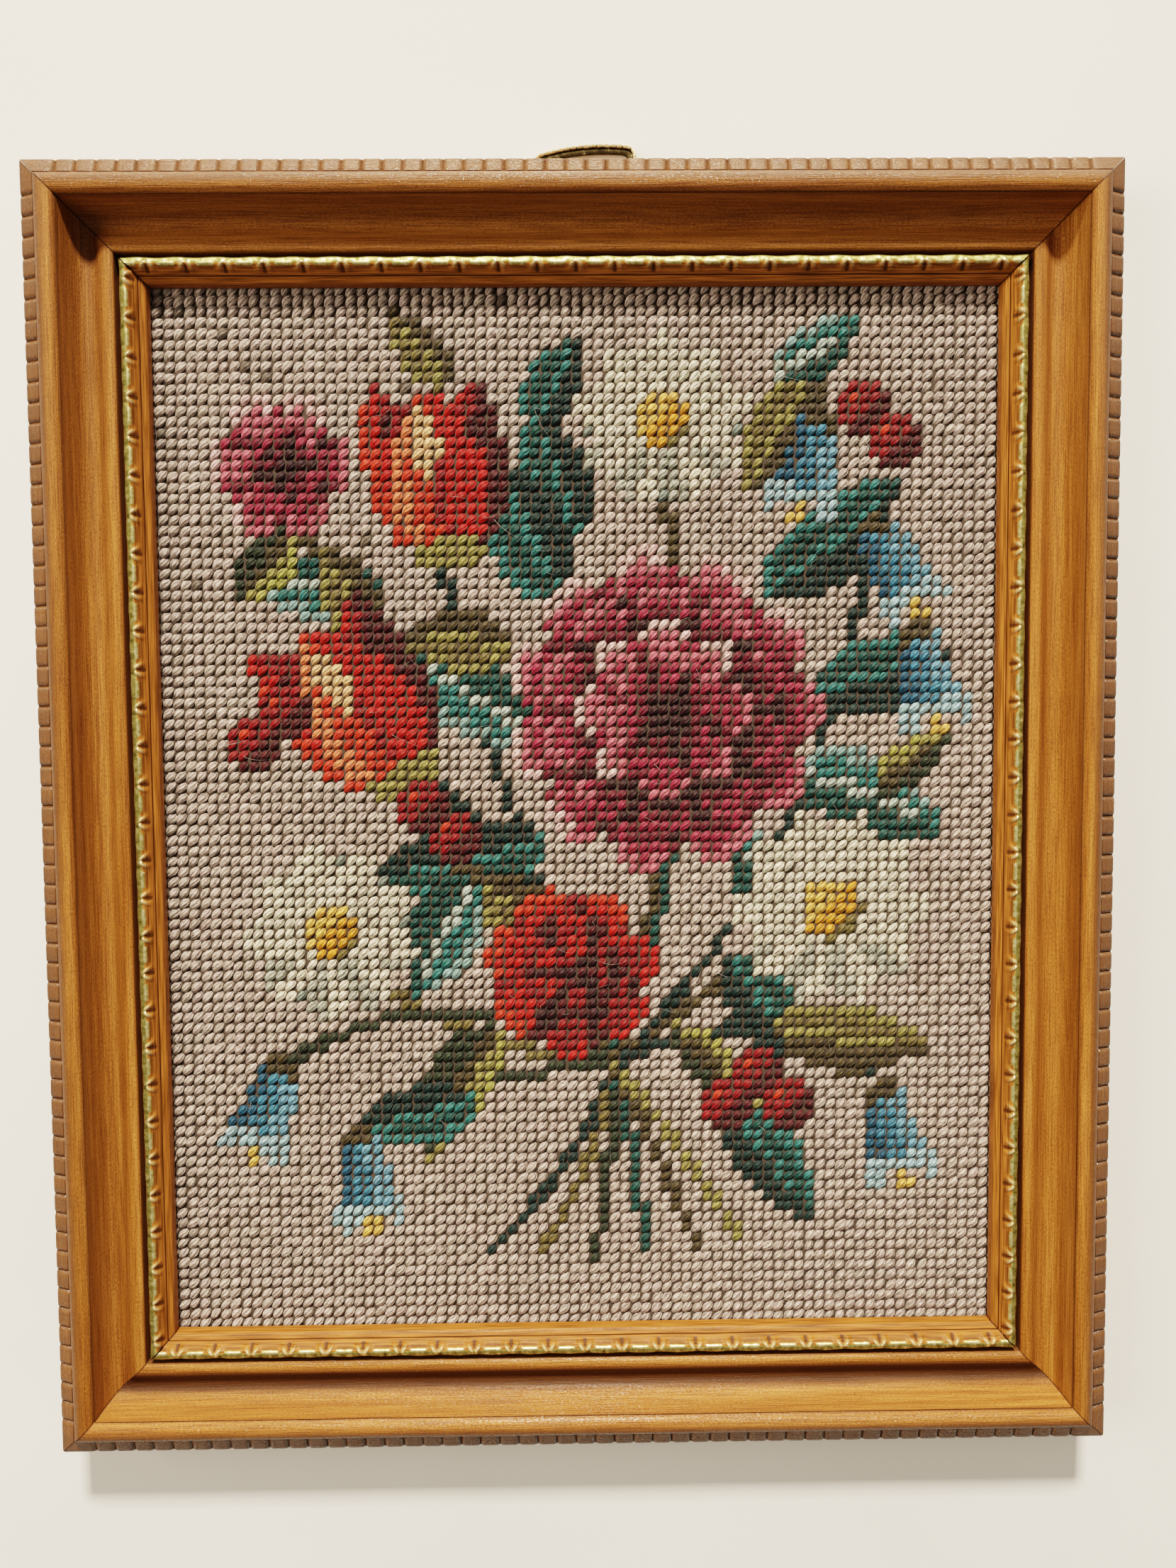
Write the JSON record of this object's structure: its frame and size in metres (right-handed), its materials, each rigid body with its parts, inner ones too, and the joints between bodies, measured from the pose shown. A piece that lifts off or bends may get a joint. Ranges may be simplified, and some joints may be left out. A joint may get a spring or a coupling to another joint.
{
  "type": "needlepoint canvas panel in a picture frame",
  "caption": "Needlepoint panel of wool tent stitches on canvas, held behind gilded slips in a mitred scoop-moulded wooden frame with notched edges and a brass hanging ring.",
  "frame": {"origin": "centre of the whole piece, ring included, on the plane of the frame's back", "axes": "+Z out of the stitched face, +Y towards the picture's top, +X towards the picture's right"},
  "size_m": [0.251, 0.3108, 0.0195],
  "materials": {
    "frame_wood": "satin varnish over brown stain",
    "slip_gilt_wood": "stained wood with a rubbed gilt edge",
    "stitched_wool": "wool tent stitches in a flower picture on a taupe ground",
    "hanger_brass": "aged brass, beaded rim"
  },
  "bodies": {
    "root": {"rail_top": "frame_wood", "rail_left": "frame_wood", "rail_bottom": "frame_wood", "rail_right": "frame_wood", "slip_top": "slip_gilt_wood", "slip_left": "slip_gilt_wood", "slip_bottom": "slip_gilt_wood", "slip_right": "slip_gilt_wood", "canvas_panel": "stitched_wool", "hanger_ring": "hanger_brass", "hanger_strap": "hanger_brass", "hanger_nail": "hanger_brass"}
  },
  "joints": []
}
